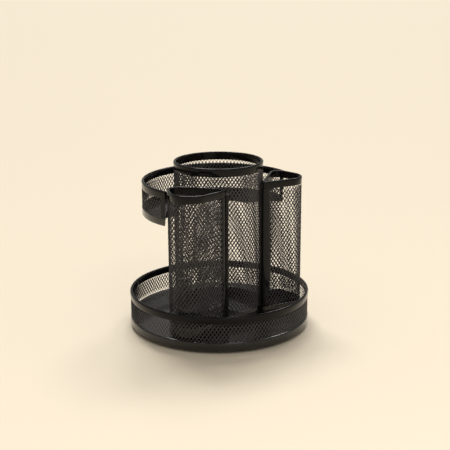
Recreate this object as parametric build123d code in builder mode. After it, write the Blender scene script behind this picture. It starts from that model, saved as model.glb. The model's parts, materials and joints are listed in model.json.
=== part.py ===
from build123d import *
import os
from math import cos, sin, radians, degrees, sqrt, atan2, pi

os.makedirs("parts", exist_ok=True)

# Rotating desk organiser in black expanded-metal mesh: a round tray on a ball-bearing
# turntable, one tall centre cup, two lower side cups and one raised C-shaped tray.
# Origin: centre of the turntable on the table top. +Z up, front towards -Y. Millimetres.

# ---------------------------------------------------------------- driving dimensions
SHEET = 0.7            # pressed steel sheet
MESH_T = 1.2           # thickness of the expanded mesh over its strands
CHANNEL = 2 * SHEET + MESH_T   # width of a rim channel folded over the mesh edge
WEB = 1.0              # rim material above the mesh edge
GAP = 0.1              # weld gap between neighbouring curved sheets

# base tray
R_BASE = 80.0
Z_SKIRT = 2.9          # lower edge of the floor pan's skirt above the table
Z_DECK = 9.8           # top of the tray floor
Z_BASE_TOP = 32.7
RIM_BASE = 6.3

# centre cup
R_TALL = 39.3
Z_TALL_TOP = 148.8
RIM_TALL = 7.2
PAN_LIP = 9.8          # height of the cups' pan lips
R_TALL_MESH = R_TALL - SHEET

# side cups: D-shaped in plan, the flat back along the centre cup.
# Centre and radius of each rounded corner, anticlockwise.
FRONT_CUP = [((-23.33, -52.84), 17.66), ((0.30, -46.39), 5.28), ((-33.27, -42.08), 9.86)]
RIGHT_CUP = [((58.21, 8.09), 15.67), ((53.88, 23.08), 8.19), ((40.12, -15.26), 3.05)]
Z_SIDE_TOP = 132.9
RIM_SIDE = 6.5
# seam strip: its corner, whether the side wall comes before that corner, how far the strip
# runs on along the side wall, and how far its flange runs on from the flat back
FRONT_SEAM = 1, True, 1.2, 6.8
RIGHT_SEAM = 2, False, 2.4, 4.2

# raised C tray
R_UP = 67.3
Z_UP_BOTTOM = 102.4
Z_UP_TOP = 132.6
UP_LIP = 6.6
RIM_UP = 6.5
UP_START = 29.0        # right-hand end of the C
UP_END = 228.5         # front end of the C
UP_STRIP = 5.0         # width of the end strips

# turntable
R_PLATE = 58.0
Z_PLATE = 1.8
PLATE_T = 1.2
RACE_R = 30.0
BALL_R = 1.9
N_BALLS = 16
RACE_T = 1.6
Z_BALL = 6.0
GROOVE_R = BALL_R + 0.05
CAGE_T = 0.8
FOOT_R = 7.0
FOOT_AT = 48.0
BOLT_R = 3.0
BUSH_R = 5.0
RUN = 0.06             # running clearance, radial

Z_PLATE_TOP = Z_PLATE + PLATE_T
Z_CUP_FLOOR = Z_DECK + SHEET + 0.1     # top of the cups' floors (0.8 sheet)
Z_LIP_TOP = Z_DECK + PAN_LIP


# ---------------------------------------------------------------- plan outlines
def d_points(inset, corners):
    """Anticlockwise outline of a side cup, inset from its outer face: for each of its three
    corners the start, middle and end of the corner's arc."""
    arcs = []
    for k in range(3):
        (cx, cy), r = corners[k]
        turn = []
        for i, j in ((k - 1, k), (k, (k + 1) % 3)):
            (x0, y0), r0 = corners[i]
            (x1, y1), r1 = corners[j]
            length = sqrt((x1 - x0) ** 2 + (y1 - y0) ** 2)
            dx, dy = (x1 - x0) / length, (y1 - y0) / length
            lean = (r0 - r1) / length
            out = sqrt(1 - lean ** 2)
            turn.append(atan2(lean * dy - out * dx, lean * dx + out * dy))
        while turn[1] < turn[0]:
            turn[1] += 2 * pi
        arcs.append([(cx + (r - inset) * cos(t), cy + (r - inset) * sin(t))
                     for t in (turn[0], (turn[0] + turn[1]) / 2, turn[1])])
    return arcs


def polar(r, angle):
    return (r * cos(radians(angle)), r * sin(radians(angle)))


def ring(r_in, r_out, z0, z1):
    with BuildPart() as p:
        with BuildSketch(Plane.XY.offset(z0)):
            Circle(r_out)
            Circle(r_in, mode=Mode.SUBTRACT)
        extrude(amount=z1 - z0)
    return p


def rim_profile(r_out, z_top, height):
    """Rolled rim: a channel folded down both sides of the mesh edge, round on top."""
    r_in = r_out - CHANNEL
    with BuildSketch(Plane.XZ) as sk:
        with BuildLine():
            Polyline((r_in, z_top - height), (r_in, z_top - 1.0))
            ThreePointArc((r_in, z_top - 1.0), (r_out - CHANNEL / 2, z_top), (r_out, z_top - 1.0))
            Polyline((r_out, z_top - 1.0), (r_out, z_top - height),
                     (r_out - SHEET, z_top - height), (r_out - SHEET, z_top - WEB),
                     (r_in + SHEET, z_top - WEB), (r_in + SHEET, z_top - height),
                     (r_in, z_top - height))
        make_face()
    return sk.sketch


# ---------------------------------------------------------------- turntable stand
with BuildPart() as stand_base_plate:
    with BuildSketch(Plane.XY.offset(Z_PLATE)):
        Circle(R_PLATE)
        Circle(BOLT_R, mode=Mode.SUBTRACT)
        with PolarLocations(FOOT_AT, 4, start_angle=45):
            Circle(2.5, mode=Mode.SUBTRACT)
    extrude(amount=PLATE_T)
    # stiffening lip round the edge of the plate
    with BuildSketch(Plane.XY.offset(Z_PLATE_TOP)):
        Circle(R_PLATE)
        Circle(R_PLATE - 1.0, mode=Mode.SUBTRACT)
    extrude(amount=1.6)

with BuildPart() as rubber_feet:
    with BuildSketch(Plane.XY):
        with PolarLocations(FOOT_AT, 4, start_angle=45):
            Circle(FOOT_R)
    extrude(amount=Z_PLATE)
    chamfer(rubber_feet.edges().group_by(Axis.Z)[0], 0.4)
    # stems pushed up through the plate
    with BuildSketch(Plane.XY.offset(Z_PLATE)):
        with PolarLocations(FOOT_AT, 4, start_angle=45):
            Circle(2.5)
    extrude(amount=PLATE_T + 0.9)

with BuildPart() as lower_race:
    with BuildSketch(Plane.XY.offset(Z_PLATE_TOP)):
        Circle(RACE_R + 5)
        Circle(RACE_R - 5, mode=Mode.SUBTRACT)
    extrude(amount=RACE_T)
    with BuildSketch(Plane.XZ):
        with Locations((RACE_R, Z_BALL)):
            Circle(GROOVE_R)
    revolve(axis=Axis.Z, mode=Mode.SUBTRACT)

with BuildPart() as upper_race:
    with BuildSketch(Plane.XY.offset(Z_DECK - 0.8 - RACE_T)):
        Circle(RACE_R + 5)
        Circle(RACE_R - 5, mode=Mode.SUBTRACT)
    extrude(amount=RACE_T)
    with BuildSketch(Plane.XZ):
        with Locations((RACE_R, Z_BALL)):
            Circle(GROOVE_R)
    revolve(axis=Axis.Z, mode=Mode.SUBTRACT)

with BuildPart() as ball_cage:
    with BuildSketch(Plane.XY.offset(Z_BALL - CAGE_T / 2)):
        Circle(RACE_R + 3.6)
        Circle(RACE_R - 3.6, mode=Mode.SUBTRACT)
        with PolarLocations(RACE_R, N_BALLS):
            Circle(BALL_R + 0.15, mode=Mode.SUBTRACT)
    extrude(amount=CAGE_T)

with BuildPart() as bearing_balls:
    with PolarLocations(RACE_R, N_BALLS):
        with Locations((0, 0, Z_BALL)):
            Sphere(BALL_R)

# pivot: pan-head bolt from below, shoulder bush, washer and cap nut above the deck
Z_BUSH_TOP = Z_CUP_FLOOR + 0.2
WASHER_T = 1.0
NUT_T = 4.2
with BuildPart() as pivot_bolt:
    with BuildSketch(Plane.XY.offset(0.5)):
        Circle(6.0)
    extrude(amount=Z_PLATE - 0.5)
    with BuildSketch(Plane.XY.offset(Z_PLATE)):
        Circle(BOLT_R)
    extrude(amount=Z_BUSH_TOP + WASHER_T + NUT_T - 1.0 - Z_PLATE)
    chamfer(pivot_bolt.edges().group_by(Axis.Z)[-1], 0.5)
    # cross-free hexagon socket in the head
    with BuildSketch(Plane.XY.offset(0.5)):
        RegularPolygon(1.7, 6)
    extrude(amount=0.8, mode=Mode.SUBTRACT)

with BuildPart() as pivot_bush:
    with BuildSketch(Plane.XY.offset(Z_PLATE_TOP)):
        Circle(BUSH_R)
        Circle(BOLT_R + 0.02, mode=Mode.SUBTRACT)
    extrude(amount=Z_BUSH_TOP - Z_PLATE_TOP)

with BuildPart() as pivot_washer:
    with BuildSketch(Plane.XY.offset(Z_BUSH_TOP)):
        Circle(9.0)
        Circle(BOLT_R + 0.2, mode=Mode.SUBTRACT)
    extrude(amount=WASHER_T)
    chamfer(pivot_washer.edges().filter_by(GeomType.CIRCLE).sort_by(Axis.Z)[-1], 0.2)

with BuildPart() as pivot_nut:
    z0 = Z_BUSH_TOP + WASHER_T
    with BuildSketch(Plane.XY.offset(z0)):
        RegularPolygon(5.6, 6)
    extrude(amount=NUT_T)
    # domed cap: the corners are turned off in a cone
    with BuildSketch(Plane.XZ):
        with BuildLine():
            Polyline((3.4, z0 + NUT_T), (7.0, z0 + NUT_T), (7.0, z0 + NUT_T - 2.4), (5.6, z0 + NUT_T - 1.6), (3.4, z0 + NUT_T))
        make_face()
    revolve(axis=Axis.Z, mode=Mode.SUBTRACT)
    with BuildSketch(Plane.XY.offset(z0)):
        Circle(BOLT_R)
    extrude(amount=NUT_T - 1.0, mode=Mode.SUBTRACT)

# ---------------------------------------------------------------- base tray
with BuildPart() as base_floor_pan:
    with BuildSketch(Plane.XY.offset(Z_SKIRT)):
        Circle(R_BASE)
    extrude(amount=Z_DECK - Z_SKIRT)
    fillet(base_floor_pan.edges().group_by(Axis.Z)[-1], 0.6)
    with BuildSketch(Plane.XY.offset(Z_SKIRT)):
        Circle(R_BASE - 0.8)
    extrude(amount=Z_DECK - 0.8 - Z_SKIRT, mode=Mode.SUBTRACT)
    # running hole over the pivot bush
    with BuildSketch(Plane.XY.offset(Z_SKIRT)):
        Circle(BUSH_R + RUN)
    extrude(amount=Z_DECK - Z_SKIRT, mode=Mode.SUBTRACT)

base_wall_mesh = ring(R_BASE - SHEET - MESH_T, R_BASE - SHEET, Z_DECK, Z_BASE_TOP - WEB)

with BuildPart() as base_rim:
    add(rim_profile(R_BASE, Z_BASE_TOP, RIM_BASE))
    revolve(axis=Axis.Z)

# ---------------------------------------------------------------- centre cup
with BuildPart() as centre_cup_pan:
    with BuildSketch(Plane.XY.offset(Z_DECK)):
        Circle(R_TALL)
    extrude(amount=PAN_LIP)
    with BuildSketch(Plane.XY.offset(Z_CUP_FLOOR)):
        Circle(R_TALL - SHEET)
    extrude(amount=PAN_LIP, mode=Mode.SUBTRACT)
    with BuildSketch(Plane.XY.offset(Z_DECK)):
        Circle(BUSH_R + RUN)
    extrude(amount=2.0, mode=Mode.SUBTRACT)

centre_cup_wall_mesh = ring(R_TALL_MESH - MESH_T, R_TALL_MESH, Z_CUP_FLOOR, Z_TALL_TOP - WEB)

with BuildPart() as centre_cup_rim:
    add(rim_profile(R_TALL, Z_TALL_TOP, RIM_TALL))
    revolve(axis=Axis.Z)


# ---------------------------------------------------------------- side cups
def d_face(z, inset, corners, hollow=None):
    """D-shaped face at height z. With hollow, the band between the two insets."""
    with BuildSketch(Plane.XY.offset(z)) as sk:
        for q, mode in ((inset, Mode.ADD), (hollow, Mode.SUBTRACT)):
            if q is None:
                continue
            arcs = d_points(q, corners)
            with BuildLine():
                for k in range(3):
                    ThreePointArc(*arcs[k])
                    Line(arcs[k][2], arcs[(k + 1) % 3][0])
            make_face(mode=mode)
    return sk.sketch


def side_pan(corners):
    with BuildPart() as p:
        add(d_face(Z_DECK, 0, corners))
        extrude(amount=PAN_LIP)
        add(d_face(Z_CUP_FLOOR, SHEET, corners))
        extrude(amount=PAN_LIP, mode=Mode.SUBTRACT)
    return p


def side_wall(corners):
    with BuildPart() as p:
        add(d_face(Z_CUP_FLOOR, SHEET, corners, SHEET + MESH_T))
        extrude(amount=Z_SIDE_TOP - WEB - Z_CUP_FLOOR)
    return p


def side_rim(corners):
    z0 = Z_SIDE_TOP - RIM_SIDE
    with BuildPart() as p:
        add(d_face(z0, 0, corners, CHANNEL))
        extrude(amount=RIM_SIDE)
        fillet(p.edges().group_by(Axis.Z)[-1], 0.45)
        # slot for the mesh edge
        add(d_face(z0, SHEET, corners, SHEET + MESH_T))
        extrude(amount=RIM_SIDE - WEB, mode=Mode.SUBTRACT)
    return p


def side_seam(corners, corner, side_first, run, flange):
    """Strip over the mesh seam: round the corner and run millimetres on along the side wall,
    with a flange running straight on from the flat back."""
    height = Z_SIDE_TOP - RIM_SIDE - Z_LIP_TOP
    arcs = d_points(0, corners)
    outer, inner = arcs[corner], d_points(SHEET, corners)[corner]
    near, far = (0, 2) if side_first else (2, 0)
    tail = arcs[corner - 1][2] if side_first else arcs[(corner + 1) % 3][0]
    length = sqrt((tail[0] - outer[near][0]) ** 2 + (tail[1] - outer[near][1]) ** 2)
    ux, uy = (tail[0] - outer[near][0]) / length * run, (tail[1] - outer[near][1]) / length * run
    o_end = (outer[near][0] + ux, outer[near][1] + uy)
    i_end = (inner[near][0] + ux, inner[near][1] + uy)
    back = arcs[(corner + 1) % 3][0] if side_first else arcs[corner - 1][2]
    length = sqrt((outer[far][0] - back[0]) ** 2 + (outer[far][1] - back[1]) ** 2)
    fx, fy = (outer[far][0] - back[0]) / length, (outer[far][1] - back[1]) / length
    with BuildPart() as p:
        with BuildSketch(Plane.XY.offset(Z_LIP_TOP)):
            with BuildLine():
                Line(o_end, outer[near])
                ThreePointArc(outer[near], outer[1], outer[far])
                Line(outer[far], inner[far])
                ThreePointArc(inner[far], inner[1], inner[near])
                Line(inner[near], i_end)
                Line(i_end, o_end)
            make_face()
            with BuildLine():
                Polyline(outer[far], (outer[far][0] + fx * flange, outer[far][1] + fy * flange),
                         (inner[far][0] + fx * flange, inner[far][1] + fy * flange),
                         inner[far], outer[far])
            make_face()
        extrude(amount=height)
    return p


front_cup_pan = side_pan(FRONT_CUP)
front_cup_wall_mesh = side_wall(FRONT_CUP)
front_cup_rim = side_rim(FRONT_CUP)
front_cup_seam_strip = side_seam(FRONT_CUP, *FRONT_SEAM)

right_cup_pan = side_pan(RIGHT_CUP)
right_cup_wall_mesh = side_wall(RIGHT_CUP)
right_cup_rim = side_rim(RIGHT_CUP)
right_cup_seam_strip = side_seam(RIGHT_CUP, *RIGHT_SEAM)


# ---------------------------------------------------------------- raised C tray
def offset_line(p, q, inset):
    """The line from p to q moved inset to its left: a point on it and its direction."""
    length = sqrt((q[0] - p[0]) ** 2 + (q[1] - p[1]) ** 2)
    dx, dy = (q[0] - p[0]) / length, (q[1] - p[1]) / length
    return (p[0] - dy * inset, p[1] + dx * inset), (dx, dy)


def crossing(a, b):
    (px, py), (dx, dy) = a
    (qx, qy), (ex, ey) = b
    t = ((qx - px) * ey - (qy - py) * ex) / (dx * ey - dy * ex)
    return (px + t * dx, py + t * dy)


def on_radius(line, r):
    """Where the line meets the circle of radius r, nearest to the line's own point."""
    (px, py), (dx, dy) = line
    b = px * dx + py * dy
    root = sqrt(b * b - px * px - py * py + r * r)
    t = -b + root if abs(-b + root) < abs(-b - root) else -b - root
    return (px + t * dx, py + t * dy)


def c_face(z, inset, r_in):
    """Plan of the C tray's pan. Its front end steps round the front cup and its right end
    clears the right cup."""
    start, end = polar(R_UP, UP_START), polar(R_UP, UP_END)
    step, knee = (-44.5, -23.0), (46.0, 34.8)
    # inner corners, held inside the centre cup so that the circle below trims them
    front_in, right_in = polar(34.0, 200.5), polar(34.0, 55.0)
    l_front = offset_line(end, step, inset)
    l_step = offset_line(step, front_in, inset)
    l_knee = offset_line(right_in, knee, inset)
    l_right = offset_line(start, knee, -inset)
    r = R_UP - inset
    p_start, p_end = on_radius(l_right, r), on_radius(l_front, r)
    inner = (front_in[0] + l_step[0][0] - step[0], front_in[1] + l_step[0][1] - step[1])
    with BuildSketch(Plane.XY.offset(z)) as sk:
        with BuildLine():
            ThreePointArc(p_start, polar(r, (UP_START + UP_END) / 2), p_end)
            Polyline(p_end, crossing(l_front, l_step), inner, l_knee[0],
                     crossing(l_knee, l_right), p_start)
        make_face()
        Circle(r_in, mode=Mode.SUBTRACT)
    return sk.sketch


with BuildPart() as upper_tray_pan:
    add(c_face(Z_UP_BOTTOM, 0, R_TALL_MESH + GAP))
    extrude(amount=UP_LIP)
    add(c_face(Z_UP_BOTTOM + 0.8, SHEET, R_TALL_MESH + GAP + SHEET))
    extrude(amount=UP_LIP, mode=Mode.SUBTRACT)

UP_SWEEP = UP_END - UP_START
TRIM_START = degrees(3.0 / R_UP)     # the mesh stops just inside the pan's end lips
TRIM_END = degrees(2.6 / R_UP)
with BuildPart() as upper_tray_wall_mesh:
    with BuildSketch(Plane.XZ.rotated((0, 0, UP_START + TRIM_START))):
        with Locations((R_UP - SHEET - MESH_T / 2, (Z_UP_BOTTOM + 0.8 + Z_UP_TOP - WEB) / 2)):
            Rectangle(MESH_T, Z_UP_TOP - WEB - Z_UP_BOTTOM - 0.8)
    revolve(axis=Axis.Z, revolution_arc=UP_SWEEP - TRIM_START - TRIM_END)

with BuildPart() as upper_tray_rim:
    z0 = Z_UP_TOP - RIM_UP
    r_in = R_UP - CHANNEL
    with BuildSketch(Plane.XZ.rotated((0, 0, UP_START))):
        with BuildLine():
            Polyline((r_in, z0), (r_in, Z_UP_TOP - 1.0))
            ThreePointArc((r_in, Z_UP_TOP - 1.0), (R_UP - CHANNEL / 2, Z_UP_TOP), (R_UP, Z_UP_TOP - 1.0))
            Polyline((R_UP, Z_UP_TOP - 1.0), (R_UP, z0), (R_UP - SHEET, z0),
                     (R_UP - SHEET, Z_UP_TOP - WEB), (r_in + SHEET, Z_UP_TOP - WEB),
                     (r_in + SHEET, z0), (r_in, z0))
        make_face()
    revolve(axis=Axis.Z, revolution_arc=UP_SWEEP)

STRIP_DEG = degrees(UP_STRIP / R_UP)
with BuildPart() as upper_tray_end_strips:
    z_lo = Z_UP_BOTTOM + UP_LIP
    z_hi = Z_UP_TOP - RIM_UP
    for start in (UP_START, UP_END - STRIP_DEG):
        with BuildSketch(Plane.XZ.rotated((0, 0, start))):
            with Locations((R_UP - SHEET / 2, (z_lo + z_hi) / 2)):
                Rectangle(SHEET, z_hi - z_lo)
        revolve(axis=Axis.Z, revolution_arc=STRIP_DEG)

# ---------------------------------------------------------------- nodes
nodes = {
    "rubber_feet": rubber_feet, "stand_base_plate": stand_base_plate,
    "lower_race": lower_race, "pivot_bolt": pivot_bolt, "pivot_bush": pivot_bush,
    "pivot_washer": pivot_washer, "pivot_nut": pivot_nut,
    "ball_cage": ball_cage, "bearing_balls": bearing_balls,
    "upper_race": upper_race, "base_floor_pan": base_floor_pan,
    "base_wall_mesh": base_wall_mesh, "base_rim": base_rim,
    "centre_cup_pan": centre_cup_pan, "centre_cup_wall_mesh": centre_cup_wall_mesh,
    "centre_cup_rim": centre_cup_rim,
    "front_cup_pan": front_cup_pan, "front_cup_wall_mesh": front_cup_wall_mesh,
    "front_cup_rim": front_cup_rim, "front_cup_seam_strip": front_cup_seam_strip,
    "right_cup_pan": right_cup_pan, "right_cup_wall_mesh": right_cup_wall_mesh,
    "right_cup_rim": right_cup_rim, "right_cup_seam_strip": right_cup_seam_strip,
    "upper_tray_pan": upper_tray_pan, "upper_tray_wall_mesh": upper_tray_wall_mesh,
    "upper_tray_rim": upper_tray_rim, "upper_tray_end_strips": upper_tray_end_strips,
}
for name, item in nodes.items():
    item.part.label = name
    export_step(item.part, f"parts/{name}.step")
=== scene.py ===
import json
import math

import bpy
import numpy as np
from mathutils import Matrix, Vector


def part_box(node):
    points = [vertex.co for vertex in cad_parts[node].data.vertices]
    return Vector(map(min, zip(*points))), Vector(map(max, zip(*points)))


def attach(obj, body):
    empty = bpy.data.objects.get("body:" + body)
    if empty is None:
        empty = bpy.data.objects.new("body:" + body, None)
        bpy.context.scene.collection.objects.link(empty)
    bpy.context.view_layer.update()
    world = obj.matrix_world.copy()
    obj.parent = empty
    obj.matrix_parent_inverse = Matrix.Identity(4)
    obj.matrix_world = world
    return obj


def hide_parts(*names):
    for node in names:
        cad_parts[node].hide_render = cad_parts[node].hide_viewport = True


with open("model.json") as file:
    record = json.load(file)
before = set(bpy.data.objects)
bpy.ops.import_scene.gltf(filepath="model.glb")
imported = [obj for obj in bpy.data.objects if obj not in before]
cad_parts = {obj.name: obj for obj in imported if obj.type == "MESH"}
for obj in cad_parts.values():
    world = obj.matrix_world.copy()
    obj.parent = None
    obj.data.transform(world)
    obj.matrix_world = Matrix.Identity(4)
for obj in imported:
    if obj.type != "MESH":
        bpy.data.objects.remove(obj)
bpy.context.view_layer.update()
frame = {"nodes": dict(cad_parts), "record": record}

# ------------------------------------------------------------------ sizes, read from the frame (metres)
MM = 0.001


def top(n):
    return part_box(n)[1][2]


def bot(n):
    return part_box(n)[0][2]


R_BASE = 79.97 * MM
Z_SKIRT, Z_DECK = bot("base_floor_pan"), top("base_floor_pan")
Z_BASE_TOP, H_BASE_RIM = top("base_rim"), top("base_rim") - bot("base_rim")
R_TALL = 39.3 * MM
Z_TALL_TOP, H_TALL_RIM = top("centre_cup_rim"), top("centre_cup_rim") - bot("centre_cup_rim")
Z_LIP = top("centre_cup_pan")
Z_CUP_FLOOR = bot("centre_cup_wall_mesh")
Z_SIDE_TOP, H_SIDE_RIM = top("front_cup_rim"), top("front_cup_rim") - bot("front_cup_rim")
R_UP = 67.3 * MM
Z_UP_BOT, Z_UP_LIP = bot("upper_tray_pan"), top("upper_tray_pan")
Z_UP_TOP, H_UP_RIM = top("upper_tray_rim"), top("upper_tray_rim") - bot("upper_tray_rim")

SHEET, MESH_T = 0.7 * MM, 1.2 * MM
CHANNEL = 2 * SHEET + MESH_T
WEB, GAP = 1.0 * MM, 0.1 * MM
# side cups: centre and radius of each rounded corner (mm), anticlockwise; the corner with the mesh seam, whether the
# side wall comes before it, how far the seam strip runs on along that wall, and its flange on from the flat back
CUPS = {"front": ([((-23.33, -52.84), 17.66), ((0.30, -46.39), 5.28), ((-33.27, -42.08), 9.86)], 1, True, 1.2 * MM, 6.8 * MM),
        "right": ([((58.21, 8.09), 15.67), ((53.88, 23.08), 8.19), ((40.12, -15.26), 3.05)], 2, False, 2.4 * MM, 4.2 * MM)}
UP_START, UP_END, UP_STRIP = 29.0, 228.5, 5.0 * MM

# opening pitch of the expanded mesh: one diamond every 3.3 mm round and every 4.8 mm up
PITCH_S, PITCH_Z = 3.3 * MM, 4.8 * MM


# ------------------------------------------------------------------ mesh helpers
def new_mesh(name, verts, faces, smooth=True, sharp=0.6):
    me = bpy.data.meshes.new(name)
    me.from_pydata([tuple(map(float, v)) for v in verts], [], faces)
    me.validate()
    me.update()
    if smooth:
        me.polygons.foreach_set("use_smooth", [True] * len(me.polygons))
        me.set_sharp_from_angle(angle=sharp)
    ob = bpy.data.objects.new(name, me)
    bpy.context.scene.collection.objects.link(ob)
    return ob


class Builder:
    """Collects shells into one piece."""

    def __init__(self):
        self.v, self.f = [], []

    def shell(self, verts, faces):
        k = len(self.v)
        self.v += list(verts)
        self.f += [tuple(i + k for i in f) for f in faces]

    def rings(self, loops, closed_path=True, closed_profile=False, cap_first=False, cap_last=False):
        """loops: one list of 3-D points per profile point, all the same length, laid along the path."""
        n, m = len(loops), len(loops[0])
        verts = [p for lp in loops for p in lp]
        faces = []
        rows = n if closed_profile else n - 1
        cols = m if closed_path else m - 1
        for i in range(rows):
            a, b = i * m, ((i + 1) % n) * m
            for j in range(cols):
                k = (j + 1) % m
                faces.append((a + j, a + k, b + k, b + j))
        if cap_first:
            faces.append(tuple(reversed(range(m))))
        if cap_last:
            faces.append(tuple((n - 1) * m + j for j in range(m)))
        if not closed_path and closed_profile:
            faces.append(tuple(i * m for i in range(n)))
            faces.append(tuple(i * m + m - 1 for i in reversed(range(n))))
        self.shell(verts, faces)

    def build(self, name, sharp=0.6):
        ob = new_mesh(name, self.v, self.f, sharp=sharp)
        import bmesh
        bm = bmesh.new()
        bm.from_mesh(ob.data)
        bmesh.ops.recalc_face_normals(bm, faces=bm.faces[:])
        bm.to_mesh(ob.data)
        bm.free()
        ob.data.update()
        return ob


def circle_loop(r, z, n=360, a0=0.0, a1=360.0, closed=True):
    out = []
    steps = n if closed else n - 1
    for i in range(n):
        a = math.radians(a0 + (a1 - a0) * i / steps)
        out.append((r * math.cos(a), r * math.sin(a), z))
    return out


# ------------------------------------------------------------------ expanded mesh
HX, HZ, HB = 1.15 / 3.3, 1.83 / 4.8, 0.25 / 4.8      # opening's half width, half height and bond half height, in pitches
STRAND_T = 0.36 * MM                                  # the sheet the mesh is cut from
TWIST = 0.2 * MM                                      # how far a bond's two sides stand in and out


def expanded_wall(name, place, length, z0, z1, closed, phase=0):
    """A real net of diamond openings on a curved wall. place(s, n) gives the plan point at distance s along the wall,
    n outward of its middle surface. Every opening is a hexagon with sides of strand thickness."""
    ncol = max(4, round(length / PITCH_S))
    dx, dz = length / ncol / 2, PITCH_Z / 2
    hx, hz, hb = HX * 2 * dx, HZ * PITCH_Z, HB * PITCH_Z
    nj = int((z1 - z0) / dz)
    ni = 2 * ncol
    zoff = z0 + ((z1 - z0) - nj * dz) * 0.5
    ids, uv, lift = {}, [], []

    def node(i, j):
        if closed:
            i %= ni
        key = (i, j)
        if key not in ids:
            ids[key] = len(uv)
            uv.append((i * dx, zoff + j * dz))
            lift.append(0.0)
        return ids[key]

    faces = []
    hole = [(0, hz, 0), (hx, hb, -TWIST), (hx, -hb, -TWIST), (0, -hz, 0), (-hx, -hb, TWIST), (-hx, hb, TWIST)]
    for j in range(1, nj):
        for i in range(0 if closed else 1, ni):
            if (i + j + phase) % 2 == 0:
                continue
            t, r, b, l = node(i, j + 1), node(i + 1, j), node(i, j - 1), node(i - 1, j)
            k = len(uv)
            for hs, hh, off in hole:
                uv.append((i * dx + hs, zoff + j * dz + hh))
                lift.append(off)
            h = [k + q for q in range(6)]
            faces += [(t, h[0], h[1], r), (r, h[1], h[2]), (r, h[2], h[3], b),
                      (b, h[3], h[4], l), (l, h[4], h[5]), (l, h[5], h[0], t)]
    n = len(uv)
    verts = []
    for side in (STRAND_T / 2, -STRAND_T / 2):
        for (s, z), off in zip(uv, lift):
            x, y = place(s, off + side)
            verts.append((x, y, z))
    used = {}
    for f in faces:
        for a, b in zip(f, f[1:] + f[:1]):
            used[(a, b)] = used.get((a, b), 0) + 1
    walls = [(b, a, a + n, b + n) for (a, b) in used if (b, a) not in used]
    back = [tuple(q + n for q in reversed(f)) for f in faces]
    return new_mesh(name, verts, faces + back + walls, smooth=False)


def on_circle(r, a0=0.0):
    def place(s, n):
        a = math.radians(a0) + s / r
        return ((r + n) * math.cos(a), (r + n) * math.sin(a))
    return place


def d_parts(inset, corners):
    """A side cup's D-shaped plan at that inset: arc and line by turns, anticlockwise, starting with the first corner."""
    cs = [((c[0] * MM, c[1] * MM), r * MM) for c, r in corners]
    normals = []
    for k in range(3):
        (x0, y0), r0 = cs[k]
        (x1, y1), r1 = cs[(k + 1) % 3]
        length = math.hypot(x1 - x0, y1 - y0)
        dx, dy = (x1 - x0) / length, (y1 - y0) / length
        lean = (r0 - r1) / length
        out = math.sqrt(1 - lean * lean)
        normals.append(math.atan2(lean * dy - out * dx, lean * dx + out * dy))
    parts = []
    for k in range(3):
        (cx, cy), r = cs[k]
        t0, t1 = normals[k - 1], normals[k]
        while t1 < t0:
            t1 += 2 * math.pi
        r -= inset
        parts.append(("arc", (t1 - t0) * r, (cx, cy, r, t0, t1)))
        (nx, ny), rn = cs[(k + 1) % 3]
        rn -= inset
        p = (cx + r * math.cos(t1), cy + r * math.sin(t1))
        q = (nx + rn * math.cos(t1), ny + rn * math.sin(t1))
        parts.append(("line", math.hypot(q[0] - p[0], q[1] - p[1]), (p, q)))
    return parts


def d_point(part, f, n=0.0):
    kind, length, data = part
    if kind == "arc":
        cx, cy, r, t0, t1 = data
        t = t0 + (t1 - t0) * f
        return (cx + (r + n) * math.cos(t), cy + (r + n) * math.sin(t))
    (px, py), (qx, qy) = data
    ux, uy = (qx - px) / length, (qy - py) / length
    return (px + ux * f * length + n * uy, py + uy * f * length - n * ux)


def d_stops(corners):
    """Where the outline is sampled: (part, fraction)."""
    out = []
    for k, (kind, length, data) in enumerate(d_parts(0.0, corners)):
        if kind == "arc":
            m = max(8, int((data[4] - data[3]) / math.radians(3.5)))
            out += [(k, i / m) for i in range(m)]
        else:
            m = max(4, int(length / (1.5 * MM)))
            out += [(k, 0.0), (k, 0.2 * MM / length)] + [(k, i / m) for i in range(1, m)] + [(k, 1 - 0.2 * MM / length)]
    return out


def d_loop(inset, corners):
    parts = d_parts(inset, corners)
    return [d_point(parts[k], f) for k, f in d_stops(corners)]


def d_place(inset, corners):
    """place(s, n) round the D's middle surface, and its length."""
    parts = d_parts(inset, corners)
    total = sum(p[1] for p in parts)

    def place(s, n):
        s = s % total
        for p in parts:
            if s <= p[1]:
                break
            s -= p[1]
        return d_point(p, min(1.0, s / p[1]), n)
    return place, total


# ------------------------------------------------------------------ rolled rims
def rim_section(h):
    """Section of a rim channel as (inset, depth below the top): a rolled bead over two folded legs."""
    r = CHANNEL / 2
    leg = 0.16 * MM
    out = [(leg + 0.12 * MM, h - 0.0 * MM), (leg, h - 0.18 * MM), (leg, 2.95 * MM), (leg * 0.55, 2.6 * MM), (0.05 * MM, 2.2 * MM)]
    for i in range(0, 13):
        a = math.pi * (1 - i / 12)
        out.append((r + r * math.cos(a), r * 1.05 - r * 1.05 * math.sin(a)))
    out += [(CHANNEL - 0.05 * MM, 2.2 * MM), (CHANNEL - leg * 0.55, 2.6 * MM), (CHANNEL - leg, 2.95 * MM),
            (CHANNEL - leg, h - 0.18 * MM), (CHANNEL - leg - 0.12 * MM, h)]
    # the slot that takes the mesh edge
    out += [(CHANNEL - SHEET, h), (CHANNEL - SHEET, WEB), (SHEET, WEB), (SHEET, h)]
    return out


def round_rim(name, r_out, z_top, h, n=360):
    b = Builder()
    b.rings([circle_loop(r_out - q, z_top - d, n) for q, d in rim_section(h)], True, True)
    return b.build(name)


def side_rim(name, corners):
    b = Builder()
    loops = [[(x, y, Z_SIDE_TOP - d) for x, y in d_loop(q, corners)] for q, d in rim_section(H_SIDE_RIM)]
    b.rings(loops, True, True)
    return b.build(name)


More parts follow.
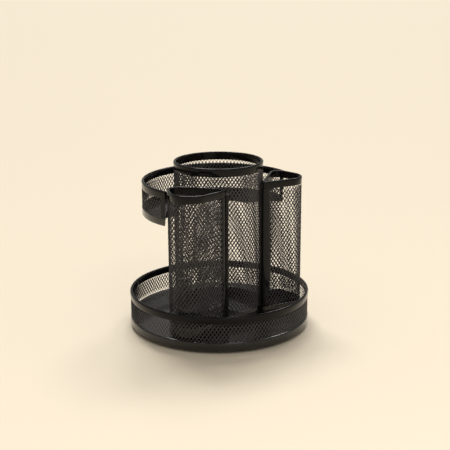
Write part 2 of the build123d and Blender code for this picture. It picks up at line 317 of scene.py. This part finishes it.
# ------------------------------------------------------------------ pressed pans
def inset_loop(pts, q):
    """A closed anticlockwise outline moved inward by q, with mitred corners."""
    P = np.array(pts)
    a, c = np.roll(P, 1, 0), np.roll(P, -1, 0)
    e1, e2 = P - a, c - P
    e1 /= np.linalg.norm(e1, axis=1)[:, None]
    e2 /= np.linalg.norm(e2, axis=1)[:, None]
    n1, n2 = np.c_[-e1[:, 1], e1[:, 0]], np.c_[-e2[:, 1], e2[:, 0]]
    m = (n1 + n2) / (1 + (n1 * n2).sum(1))[:, None]
    return P + q * m


def pan(name, outline, z_floor_bottom, z_floor_top, z_lip, lip_drop=None, lip_t=SHEET, hole=None):
    """Pressed pan: flat bottom, rounded corner, upturned lip with a hemmed edge. lip_drop gives, for each outline
    point, how far the lip's edge is cut down there."""
    n = len(outline)
    drop = np.zeros(n) if lip_drop is None else np.asarray(lip_drop)
    r = 1.0 * MM
    b = Builder()
    loops = []

    def lp(q, z, lip=False):
        P = inset_loop(outline, q)
        loops.append([(P[i][0], P[i][1], z - (drop[i] if lip else 0)) for i in range(n)])
    if hole is None:
        lp(r + 0.5 * MM, z_floor_bottom)
    for k in range(0, 5):
        a = math.pi / 2 * k / 4
        lp(r - r * math.sin(a), z_floor_bottom + r - r * math.cos(a))
    lp(0.0, z_lip - 0.25 * MM, True)
    for q, d in ((0.07, 0.07), (0.25, 0.0), (0.45, 0.0), (0.63, 0.07), (0.7, 0.25)):
        lp(q * MM * lip_t / (0.7 * MM), z_lip - d * MM, True)
    lp(lip_t, z_floor_top + 0.7 * MM)
    lp(lip_t + 0.2 * MM, z_floor_top + 0.2 * MM)
    lp(lip_t + 0.7 * MM, z_floor_top)
    lp(lip_t + 1.3 * MM, z_floor_top)
    if hole is None:
        b.rings(loops, True, False, cap_first=True, cap_last=True)
    else:
        # round pan with a running hole: carry the floor in to the hole
        for rr, z in ((hole + 0.3 * MM, z_floor_top), (hole, z_floor_top - 0.2 * MM), (hole, z_floor_bottom)):
            loops.append(circle_loop(rr, z, n))
        b.rings(loops, True, True)
    return b.build(name)


def corner_drop(depth, corners, corner, side_first):
    """How far a side cup's pan lip is cut down at each outline point: rounded off round the seam corner."""
    out = []
    for k, f in d_stops(corners):
        if k == 2 * corner:
            f = f if side_first else 1 - f
            out.append(depth * (1 - math.sqrt(max(0.0, 1 - f * f))))
        elif side_first and k == 2 * corner + 1 and f == 0.0:
            out.append(depth)
        else:
            out.append(0.0)
    return out


def strip_shell(b, columns, z1, t):
    """A thin strip from columns of (outer point, inner point, lower z), closed all round."""
    verts, m = [], len(columns)
    for (o, i, z0) in columns:
        verts += [(o[0], o[1], z0), (o[0], o[1], z1), (i[0], i[1], z1), (i[0], i[1], z0)]
    faces = []
    for c in range(m - 1):
        for q in range(4):
            faces.append((c * 4 + q, (c + 1) * 4 + q, (c + 1) * 4 + (q + 1) % 4, c * 4 + (q + 1) % 4))
    faces.append((0, 1, 2, 3))
    faces.append(tuple((m - 1) * 4 + q for q in (3, 2, 1, 0)))
    b.shell(verts, faces)


# ================================================================== pieces
made = {}

# base tray: deck with skirt
b = Builder()
prof = []
r_in = R_BASE - 0.8 * MM
prof += [(62.0 * MM, Z_DECK - 0.8 * MM), (r_in - 0.8 * MM, Z_DECK - 0.8 * MM), (r_in - 0.2 * MM, Z_DECK - 1.0 * MM), (r_in, Z_DECK - 1.6 * MM),
         (r_in, Z_SKIRT + 0.25 * MM), (r_in + 0.2 * MM, Z_SKIRT), (R_BASE - 0.2 * MM, Z_SKIRT), (R_BASE, Z_SKIRT + 0.25 * MM), (R_BASE, Z_DECK - 1.5 * MM)]
for k in range(1, 7):
    a = math.pi / 2 * k / 6
    prof.append((R_BASE - 1.5 * MM + 1.5 * MM * math.cos(a), Z_DECK - 1.5 * MM + 1.5 * MM * math.sin(a)))
# the deck runs flat in to the running hole, whose edge is turned down
prof += [(77.6 * MM, Z_DECK), (60.0 * MM, Z_DECK), (6.0 * MM, Z_DECK), (5.06 * MM, Z_DECK - 0.2 * MM), (5.06 * MM, Z_DECK - 0.8 * MM)]
b.rings([circle_loop(r, z, 420) for r, z in prof], True, True)
made["base_deck"] = (b.build("base_deck"), ["base_floor_pan"], "gloss_black")

MID = 0.60 * MM       # the mesh's middle surface, inset from the rims' outer face
made["base_mesh"] = (expanded_wall("base_mesh", on_circle(R_BASE - MID - 0.2 * MM), 2 * math.pi * (R_BASE - MID - 0.2 * MM),
                                   Z_DECK, Z_BASE_TOP - H_BASE_RIM + 0.4 * MM, True), ["base_wall_mesh"], "mesh_black")
made["base_rolled_rim"] = (round_rim("base_rolled_rim", R_BASE, Z_BASE_TOP, H_BASE_RIM, 480), ["base_rim"], "black_steel")

# centre cup
rm = R_TALL - MID
made["centre_mesh"] = (expanded_wall("centre_mesh", on_circle(rm), 2 * math.pi * rm, Z_LIP - 0.4 * MM, Z_TALL_TOP - H_TALL_RIM + 0.4 * MM, True),
                       ["centre_cup_wall_mesh"], "mesh_black")
made["centre_rolled_rim"] = (round_rim("centre_rolled_rim", R_TALL, Z_TALL_TOP, H_TALL_RIM, 300), ["centre_cup_rim"], "black_steel")
out = [(x, y) for x, y, z in circle_loop(R_TALL, 0, 240)]
made["centre_pan"] = (pan("centre_pan", out, Z_DECK, Z_CUP_FLOOR, Z_LIP, hole=5.06 * MM), ["centre_cup_pan"], "gloss_black")

# side cups
LIP_CUT = 7.0 * MM
for nm, (corners, corner, side_first, run, flange) in CUPS.items():
    place, length = d_place(MID, corners)
    made[nm + "_mesh"] = (expanded_wall(nm + "_mesh", place, length, Z_LIP - 0.4 * MM, Z_SIDE_TOP - H_SIDE_RIM + 0.4 * MM, True),
                          [nm + "_cup_wall_mesh"], "mesh_black")
    made[nm + "_rolled_rim"] = (side_rim(nm + "_rolled_rim", corners), [nm + "_cup_rim"], "black_steel")
    made[nm + "_pan"] = (pan(nm + "_pan", d_loop(0.0, corners), Z_DECK, Z_CUP_FLOOR, Z_LIP, corner_drop(LIP_CUT, corners, corner, side_first)),
                         [nm + "_cup_pan"], "gloss_black")
    # strip over the mesh seam: along the side wall, round the corner, down to the cut-down lip
    b = Builder()
    outer, inner = d_parts(0.01 * MM, corners), d_parts(0.2 * MM, corners)
    side = 2 * corner - 1 if side_first else (2 * corner + 1) % 6
    cols = []
    for k in range(4):
        w = run * (1 - k / 4)
        cols.append(tuple(d_point(p[side], (1 - w / p[side][1]) if side_first else w / p[side][1]) for p in (outer, inner)) + (Z_LIP + 0.02 * MM,))
    for k in range(25):
        f = k / 24
        g = f if side_first else 1 - f
        cols.append(tuple(d_point(p[2 * corner], g) for p in (outer, inner)) +
                    (Z_LIP + 0.02 * MM - LIP_CUT * (1 - math.sqrt(max(0.0, 1 - f * f))),))
    strip_shell(b, cols, Z_SIDE_TOP - H_SIDE_RIM + 0.3 * MM, 0.2 * MM)
    # and its flange, straight on from the flat back down to the deck
    back = (2 * corner + 1) % 6 if side_first else 2 * corner - 1
    o0, i0 = (d_point(p[back], 0.0 if side_first else 1.0) for p in (d_parts(0.0, corners), d_parts(0.6 * MM, corners)))
    o1 = d_point(outer[back], 1.0 if side_first else 0.0)
    fl = math.hypot(o0[0] - o1[0], o0[1] - o1[1])
    fx, fy = (o0[0] - o1[0]) / fl, (o0[1] - o1[1]) / fl
    e = 0.15 * MM
    nx, ny = (i0[0] - o0[0]) / (0.6 * MM), (i0[1] - o0[1]) / (0.6 * MM)
    edge = [(0.0, 0.0), (0.0, flange - e), (e * 0.3, flange - e * 0.3), (e, flange), (0.6 * MM - e, flange),
            (0.6 * MM - e * 0.3, flange - e * 0.3), (0.6 * MM, flange - e), (0.6 * MM, 0.0)]
    ring = [(o0[0] + nx * q + fx * w, o0[1] + ny * q + fy * w) for q, w in edge]
    b.rings([[(x, y, z) for x, y in ring] for z in (Z_DECK + 0.05 * MM, Z_SIDE_TOP - H_SIDE_RIM + 0.1 * MM)], True, False, cap_first=True, cap_last=True)
    made[nm + "_seam_strip"] = (b.build(nm + "_seam_strip"), [nm + "_cup_seam_strip"], "black_steel")

# raised C tray
up = []
mid_steps = 150
arc_end = (R_UP * math.cos(math.radians(UP_END)), R_UP * math.sin(math.radians(UP_END)))
for i in range(mid_steps + 1):
    # the sharp corners at both ends keep long sides, so that the inset loops do not fold over there
    if 0 < i < 5 or mid_steps - 5 < i < mid_steps:
        continue
    a = math.radians(UP_START + (UP_END - UP_START) * i / mid_steps)
    up.append((R_UP * math.cos(a), R_UP * math.sin(a)))
r_up_in = R_TALL - SHEET + GAP
step = (-44.5 * MM, -23.0 * MM)
f_in = (34.0 * MM * math.cos(math.radians(200.5)), 34.0 * MM * math.sin(math.radians(200.5)))
g_in = (34.0 * MM * math.cos(math.radians(55.0)), 34.0 * MM * math.sin(math.radians(55.0)))
knee = (46.0 * MM, 34.8 * MM)


def hit(p, q, r):
    """Where the line from p (outside) to q (inside) meets the circle of radius r."""
    dx, dy = q[0] - p[0], q[1] - p[1]
    A, B, C = dx * dx + dy * dy, 2 * (p[0] * dx + p[1] * dy), p[0] ** 2 + p[1] ** 2 - r * r
    t = (-B - math.sqrt(B * B - 4 * A * C)) / (2 * A)
    return (p[0] + t * dx, p[1] + t * dy)


for i in range(3, 12):
    up.append((arc_end[0] + (step[0] - arc_end[0]) * i / 12, arc_end[1] + (step[1] - arc_end[1]) * i / 12))
up.append(step)
hf = hit(step, f_in, r_up_in)
for i in range(1, 5):
    up.append((step[0] + (hf[0] - step[0]) * i / 5, step[1] + (hf[1] - step[1]) * i / 5))
up.append(hf)
hg = hit(knee, g_in, r_up_in)
af, ag = math.atan2(hf[1], hf[0]) % (2 * math.pi), math.atan2(hg[1], hg[0])
for i in range(3, 98):
    a = af + (ag - af) * i / 100
    up.append((r_up_in * math.cos(a), r_up_in * math.sin(a)))
up.append(hg)
for i in range(1, 4):
    up.append((hg[0] + (knee[0] - hg[0]) * i / 4, hg[1] + (knee[1] - hg[1]) * i / 4))
up.append(knee)
for i in range(1, 5):
    up.append((knee[0] + (up[0][0] - knee[0]) * i / 8, knee[1] + (up[0][1] - knee[1]) * i / 8))
made["upper_pan"] = (pan("upper_pan", up, Z_UP_BOT, Z_UP_BOT + 0.8 * MM, Z_UP_LIP), ["upper_tray_pan"], "gloss_black")

ru = R_UP - MID
trim0, trim1 = math.degrees(0.6 * MM / R_UP), math.degrees(0.6 * MM / R_UP)
made["upper_mesh"] = (expanded_wall("upper_mesh", on_circle(ru, UP_START + trim0), math.radians(UP_END - UP_START - trim0 - trim1) * ru,
                                    Z_UP_LIP - 0.4 * MM, Z_UP_TOP - H_UP_RIM + 0.4 * MM, False), ["upper_tray_wall_mesh"], "mesh_black")
b = Builder()
b.rings([circle_loop(R_UP - q, Z_UP_TOP - d, 220, UP_START, UP_END, False) for q, d in rim_section(H_UP_RIM)], False, True)
made["upper_rolled_rim"] = (b.build("upper_rolled_rim"), ["upper_tray_rim"], "black_steel")
b = Builder()
deg = math.degrees(UP_STRIP / R_UP)
for a0, a1 in ((UP_START, UP_START + deg), (UP_END - deg, UP_END)):
    cols = []
    for k in range(9):
        a = math.radians(a0 + (a1 - a0) * k / 8)
        cols.append((((R_UP - 0.01 * MM) * math.cos(a), (R_UP - 0.01 * MM) * math.sin(a)),
                     ((R_UP - 0.2 * MM) * math.cos(a), (R_UP - 0.2 * MM) * math.sin(a)), Z_UP_LIP - 0.1 * MM))
    strip_shell(b, cols, Z_UP_TOP - H_UP_RIM + 0.3 * MM, 0.2 * MM)
made["upper_strips"] = (b.build("upper_strips"), ["upper_tray_end_strips"], "black_steel")


# ------------------------------------------------------------------ materials
def material(name, color, rough, metallic=0.0, coat=0.0, coat_rough=0.2, spec=0.5):
    m = bpy.data.materials.new(name)
    m.use_nodes = True
    nt = m.node_tree
    p = nt.nodes["Principled BSDF"]
    p.inputs["Base Color"].default_value = (*color, 1)
    p.inputs["Roughness"].default_value = rough
    p.inputs["Metallic"].default_value = metallic
    p.inputs["Coat Weight"].default_value = coat
    p.inputs["Coat Roughness"].default_value = coat_rough
    p.inputs["Specular IOR Level"].default_value = spec
    return m, nt, p


def node(nt, kind, loc=(0, 0), **inputs):
    n = nt.nodes.new(kind)
    n.location = loc
    for k, v in inputs.items():
        n.inputs[k.replace("_", " ")].default_value = v
    return n


def noise(nt, co, scale, detail=4.0, rough=0.55):
    n = node(nt, "ShaderNodeTexNoise", Scale=scale, Detail=detail, Roughness=rough)
    nt.links.new(co.outputs["Object"], n.inputs["Vector"])
    return n


def ramp(nt, src, stops):
    r = nt.nodes.new("ShaderNodeValToRGB")
    while len(r.color_ramp.elements) > 1:
        r.color_ramp.elements.remove(r.color_ramp.elements[-1])
    first = True
    for pos, c in stops:
        c = c if isinstance(c, tuple) else (c, c, c)
        if first:
            e = r.color_ramp.elements[0]
            e.position = pos
            first = False
        else:
            e = r.color_ramp.elements.new(pos)
        e.color = (*c, 1)
    nt.links.new(src, r.inputs["Fac"])
    return r


def bump(nt, src, p, strength, dist):
    bn = node(nt, "ShaderNodeBump", Strength=strength, Distance=dist)
    nt.links.new(src, bn.inputs["Height"])
    nt.links.new(bn.outputs["Normal"], p.inputs["Normal"])
    return bn


def powder_coat(name, dark, light, r_lo, r_hi, peel, dust, spec):
    """Black powder coat on steel: orange peel, patches of slightly different gloss, a breath of dust on what faces up,
    and edges polished lighter by handling."""
    m, nt, p = material(name, dark, (r_lo + r_hi) / 2, spec=spec)
    co = nt.nodes.new("ShaderNodeTexCoord")
    big = noise(nt, co, 38.0, 3.0)
    fine = noise(nt, co, 1500.0, 2.0)
    speck = noise(nt, co, 5200.0, 1.0)
    col = ramp(nt, big.outputs["Fac"], [(0.3, dark), (0.7, light)])
    geo = nt.nodes.new("ShaderNodeNewGeometry")
    edge = ramp(nt, geo.outputs["Pointiness"], [(0.515, 0.0), (0.60, 1.0)])
    wear = node(nt, "ShaderNodeMixRGB")
    wear.blend_type = "MIX"
    nt.links.new(edge.outputs["Color"], wear.inputs["Fac"])
    nt.links.new(col.outputs["Color"], wear.inputs["Color1"])
    wear.inputs["Color2"].default_value = (light[0] * 2.1, light[1] * 2.1, light[2] * 2.1, 1)
    last = wear.outputs["Color"]
    if dust:
        sep = nt.nodes.new("ShaderNodeSeparateXYZ")
        nt.links.new(geo.outputs["Normal"], sep.inputs["Vector"])
        up_ = ramp(nt, sep.outputs["Z"], [(0.55, 0.0), (1.0, 1.0)])
        patch = ramp(nt, speck.outputs["Fac"], [(0.45, 0.15), (0.72, 1.0)])
        mul = node(nt, "ShaderNodeMath")
        mul.operation = "MULTIPLY"
        nt.links.new(up_.outputs["Color"], mul.inputs[0])
        nt.links.new(patch.outputs["Color"], mul.inputs[1])
        amt = node(nt, "ShaderNodeMath")
        amt.operation = "MULTIPLY"
        amt.inputs[1].default_value = dust
        nt.links.new(mul.outputs[0], amt.inputs[0])
        mix = node(nt, "ShaderNodeMixRGB")
        nt.links.new(amt.outputs[0], mix.inputs["Fac"])
        nt.links.new(last, mix.inputs["Color1"])
        mix.inputs["Color2"].default_value = (0.35, 0.33, 0.30, 1)
        last = mix.outputs["Color"]
    nt.links.new(last, p.inputs["Base Color"])
    rr = ramp(nt, big.outputs["Fac"], [(0.25, r_lo), (0.75, r_hi)])
    nt.links.new(rr.outputs["Color"], p.inputs["Roughness"])
    bump(nt, fine.outputs["Fac"], p, peel, 0.00006)
    return m


def gloss_sheet(name, dark, light):
    """Semi-gloss black paint on pressed sheet, with hairline scratches that show only in the gloss."""
    m, nt, p = material(name, dark, 0.25, coat=0.75, coat_rough=0.12, spec=0.15)
    co = nt.nodes.new("ShaderNodeTexCoord")
    big = noise(nt, co, 26.0, 4.0)
    col = ramp(nt, big.outputs["Fac"], [(0.3, dark), (0.72, light)])
    nt.links.new(col.outputs["Color"], p.inputs["Base Color"])
    mp = node(nt, "ShaderNodeMapping")
    mp.inputs["Scale"].default_value = (90.0, 1500.0, 90.0)
    mp.inputs["Rotation"].default_value = (0, 0, 0.6)
    nt.links.new(co.outputs["Object"], mp.inputs["Vector"])
    hair = node(nt, "ShaderNodeTexNoise", Scale=1.0, Detail=3.0)
    nt.links.new(mp.outputs["Vector"], hair.inputs["Vector"])
    scr = ramp(nt, hair.outputs["Fac"], [(0.60, 0.0), (0.68, 1.0)])
    rr = ramp(nt, big.outputs["Fac"], [(0.2, 0.20), (0.8, 0.30)])
    mix = node(nt, "ShaderNodeMixRGB")
    mix.blend_type = "ADD"
    mix.inputs["Fac"].default_value = 0.05
    nt.links.new(rr.outputs["Color"], mix.inputs["Color1"])
    nt.links.new(scr.outputs["Color"], mix.inputs["Color2"])
    nt.links.new(mix.outputs["Color"], p.inputs["Roughness"])
    fine = noise(nt, co, 900.0, 2.0)
    bump(nt, fine.outputs["Fac"], p, 0.10, 0.00005)
    return m


def metal(name, color, r_lo, r_hi, scale):
    m, nt, p = material(name, color, r_lo, metallic=1.0)
    co = nt.nodes.new("ShaderNodeTexCoord")
    big = noise(nt, co, scale, 5.0)
    rr = ramp(nt, big.outputs["Fac"], [(0.3, r_lo), (0.7, r_hi)])
    nt.links.new(rr.outputs["Color"], p.inputs["Roughness"])
    col = ramp(nt, big.outputs["Fac"], [(0.3, tuple(c * 0.85 for c in color)), (0.7, color)])
    nt.links.new(col.outputs["Color"], p.inputs["Base Color"])
    bump(nt, noise(nt, co, scale * 30, 2.0).outputs["Fac"], p, 0.1, 0.00005)
    return m


MAT = {
    "black_steel": powder_coat("black_steel_coat", (0.0030, 0.0030, 0.0034), (0.0052, 0.0052, 0.0057), 0.12, 0.19, 0.12, 0.015, 0.18),
    "mesh_black": powder_coat("mesh_black_coat", (0.024, 0.022, 0.023), (0.036, 0.033, 0.035), 0.34, 0.44, 0.2, 0.02, 0.4),
    "gloss_black": gloss_sheet("gloss_black_sheet", (0.009, 0.0085, 0.008), (0.014, 0.013, 0.012)),
    "zinc_steel": metal("zinc_steel_metal", (0.58, 0.57, 0.53), 0.28, 0.42, 90.0),
    "ball_steel": metal("ball_steel_metal", (0.75, 0.75, 0.76), 0.06, 0.12, 200.0),
}
m, nt, p = material("rubber_feet_black", (0.02, 0.02, 0.02), 0.85)
co = nt.nodes.new("ShaderNodeTexCoord")
nt.links.new(ramp(nt, noise(nt, co, 300.0).outputs["Fac"], [(0.3, (0.016, 0.016, 0.016)), (0.7, (0.035, 0.034, 0.033))]).outputs["Color"], p.inputs["Base Color"])
bump(nt, noise(nt, co, 2500.0).outputs["Fac"], p, 0.4, 0.0001)
MAT["rubber"] = m
m, nt, p = material("cage_nylon", (0.75, 0.73, 0.66), 0.5)
co = nt.nodes.new("ShaderNodeTexCoord")
nt.links.new(ramp(nt, noise(nt, co, 60.0).outputs["Fac"], [(0.3, (0.70, 0.67, 0.59)), (0.7, (0.78, 0.76, 0.70))]).outputs["Color"], p.inputs["Base Color"])
bump(nt, noise(nt, co, 1200.0).outputs["Fac"], p, 0.2, 0.0001)
MAT["cage_plastic"] = m

for piece, (ob, nodes_, slot_) in made.items():
    ob.data.materials.append(MAT[slot_])
    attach(ob, "carousel")
    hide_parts(*nodes_)

slots = {s["node"]: s["material_slot"] for s in frame["record"]["subparts"]}
replaced = {n for _, ns, _ in made.values() for n in ns}
for n, ob in frame["nodes"].items():
    if n not in replaced:
        ob.data.materials.clear()
        ob.data.materials.append(MAT[slots[n]])

# ------------------------------------------------------------------ floor, light, camera
bpy.ops.mesh.primitive_plane_add(size=12.0, location=(0, 3.0, 0))
floor = bpy.context.object
floor.name = "floor"
m, nt, p = material("pale_floor", (0.85, 0.755, 0.605), 0.6)
p.inputs["Specular IOR Level"].default_value = 0.3
floor.data.materials.append(m)

scene = bpy.context.scene
world = bpy.data.worlds.new("studio")
scene.world = world
world.use_nodes = True
bg = world.node_tree.nodes["Background"]
bg.inputs["Color"].default_value = (1.0, 0.955, 0.88, 1)
bg.inputs["Strength"].default_value = 0.40


def area(name, loc, target, size, power, color=(1, 1, 1)):
    d = bpy.data.lights.new(name, "AREA")
    d.shape = "RECTANGLE"
    d.size, d.size_y = size
    d.energy = power
    d.color = color
    o = bpy.data.objects.new(name, d)
    o.location = loc
    o.rotation_euler = (Vector(target) - Vector(loc)).to_track_quat("-Z", "Y").to_euler()
    scene.collection.objects.link(o)
    return o


def sun(name, azimuth, elevation, power, angle, color=(1, 1, 1)):
    d = bpy.data.lights.new(name, "SUN")
    d.energy = power
    d.angle = math.radians(angle)
    d.color = color
    o = bpy.data.objects.new(name, d)
    a, e = math.radians(azimuth), math.radians(elevation)
    at = Vector((math.cos(e) * math.cos(a), math.cos(e) * math.sin(a), math.sin(e)))
    o.rotation_euler = (-at).to_track_quat("-Z", "Y").to_euler()
    scene.collection.objects.link(o)
    return o


sun("window_left", 109.0, 57.0, 1.35, 16.0, (1, 0.985, 0.955))
sun("window_middle", 85.0, 50.0, 0.80, 16.0, (1, 0.985, 0.955))
sun("window_right", 61.0, 47.0, 0.55, 14.0, (1, 0.98, 0.95))
area("front_fill", (0.35, -0.85, 0.95), (0, 0, 0.08), (0.5, 0.4), 1.6, (1, 0.98, 0.95))

F_PX, CAM_D, CAM_H = 979.0, 0.837, 0.3184
PITCH, YAW, ROLL = math.radians(15.27), math.radians(0.38), math.radians(-0.29)
cam_d = bpy.data.cameras.new("camera")
cam_d.sensor_width = 36.0
cam_d.sensor_fit = "HORIZONTAL"
cam_d.lens = F_PX / 450 * 36.0
cam_d.clip_start = 0.01
cam_d.dof.use_dof = False
cam = bpy.data.objects.new("camera", cam_d)
fwd = Vector((math.sin(YAW) * math.cos(PITCH), math.cos(YAW) * math.cos(PITCH), -math.sin(PITCH)))
right = Vector((math.cos(YAW), -math.sin(YAW), 0))
upv = right.cross(fwd)
r2 = right * math.cos(ROLL) + upv * math.sin(ROLL)
u2 = -right * math.sin(ROLL) + upv * math.cos(ROLL)
mat = Matrix((r2, u2, -fwd)).transposed().to_4x4()
mat.translation = Vector((0, -CAM_D, CAM_H))
cam.matrix_world = mat
scene.collection.objects.link(cam)
scene.camera = cam
scene.view_settings.view_transform = "Standard"
